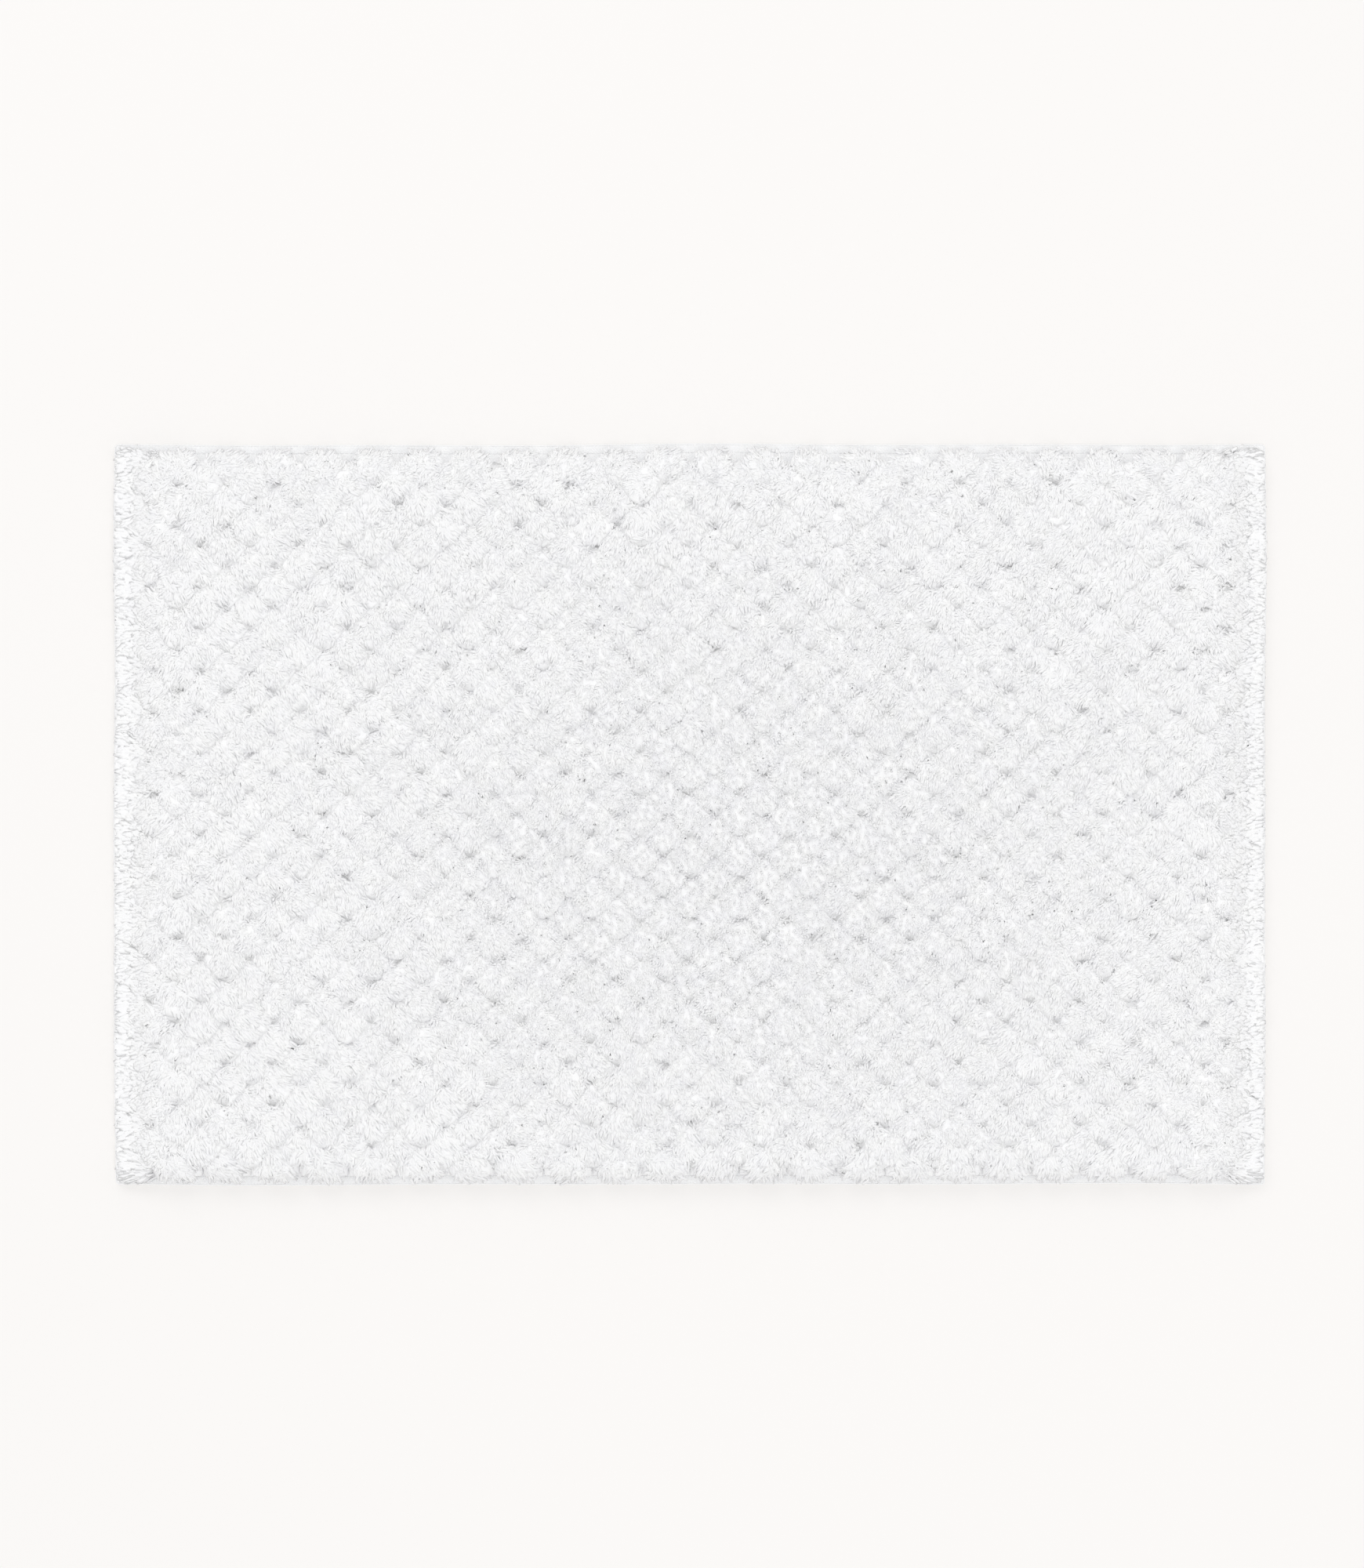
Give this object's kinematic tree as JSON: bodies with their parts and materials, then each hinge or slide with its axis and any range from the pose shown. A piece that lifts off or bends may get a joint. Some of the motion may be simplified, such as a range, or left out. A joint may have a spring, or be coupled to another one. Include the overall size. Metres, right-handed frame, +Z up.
{
  "type": "tufted bath mat",
  "caption": "Rectangular white cotton bath mat with a deep cut pile of round tufts in a diamond lattice, hemmed edges and an anti-slip underside.",
  "frame": {"origin": "middle of the underside, in the plane the mat lies on", "axes": "+Z up out of the pile, X along the long side, Y along the short side, -Y the edge nearest the viewer"},
  "size_m": [0.84, 0.54, 0.022],
  "materials": {
    "cotton_pile": "soft cut cotton pile, matt",
    "cotton_cloth": "plain-woven cotton, matt",
    "sewing_thread": "spun thread",
    "latex": "matt foamed latex"
  },
  "bodies": {
    "root": {"ground_cloth": "cotton_cloth", "latex_coat": "latex", "hem_front": "cotton_cloth", "hem_back": "cotton_cloth", "hem_left": "cotton_cloth", "hem_right": "cotton_cloth", "hem_thread_front": "sewing_thread", "hem_thread_back": "sewing_thread", "hem_thread_left": "sewing_thread", "hem_thread_right": "sewing_thread", "pile_row_01": "cotton_pile", "pile_row_02": "cotton_pile", "pile_row_03": "cotton_pile", "pile_row_04": "cotton_pile", "pile_row_05": "cotton_pile", "pile_row_06": "cotton_pile", "pile_row_07": "cotton_pile", "pile_row_08": "cotton_pile", "pile_row_09": "cotton_pile", "pile_row_10": "cotton_pile", "pile_row_11": "cotton_pile", "pile_row_12": "cotton_pile", "pile_row_13": "cotton_pile", "pile_row_14": "cotton_pile", "pile_row_15": "cotton_pile", "pile_row_16": "cotton_pile", "pile_row_17": "cotton_pile", "pile_row_18": "cotton_pile", "pile_row_19": "cotton_pile", "pile_row_20": "cotton_pile", "pile_row_21": "cotton_pile", "pile_row_22": "cotton_pile", "pile_row_23": "cotton_pile", "pile_row_24": "cotton_pile", "pile_row_25": "cotton_pile", "pile_row_26": "cotton_pile", "pile_row_27": "cotton_pile", "pile_row_28": "cotton_pile", "pile_row_29": "cotton_pile", "pile_row_30": "cotton_pile", "pile_row_31": "cotton_pile", "pile_row_32": "cotton_pile", "pile_row_33": "cotton_pile", "pile_row_34": "cotton_pile", "pile_row_35": "cotton_pile"}
  },
  "joints": []
}
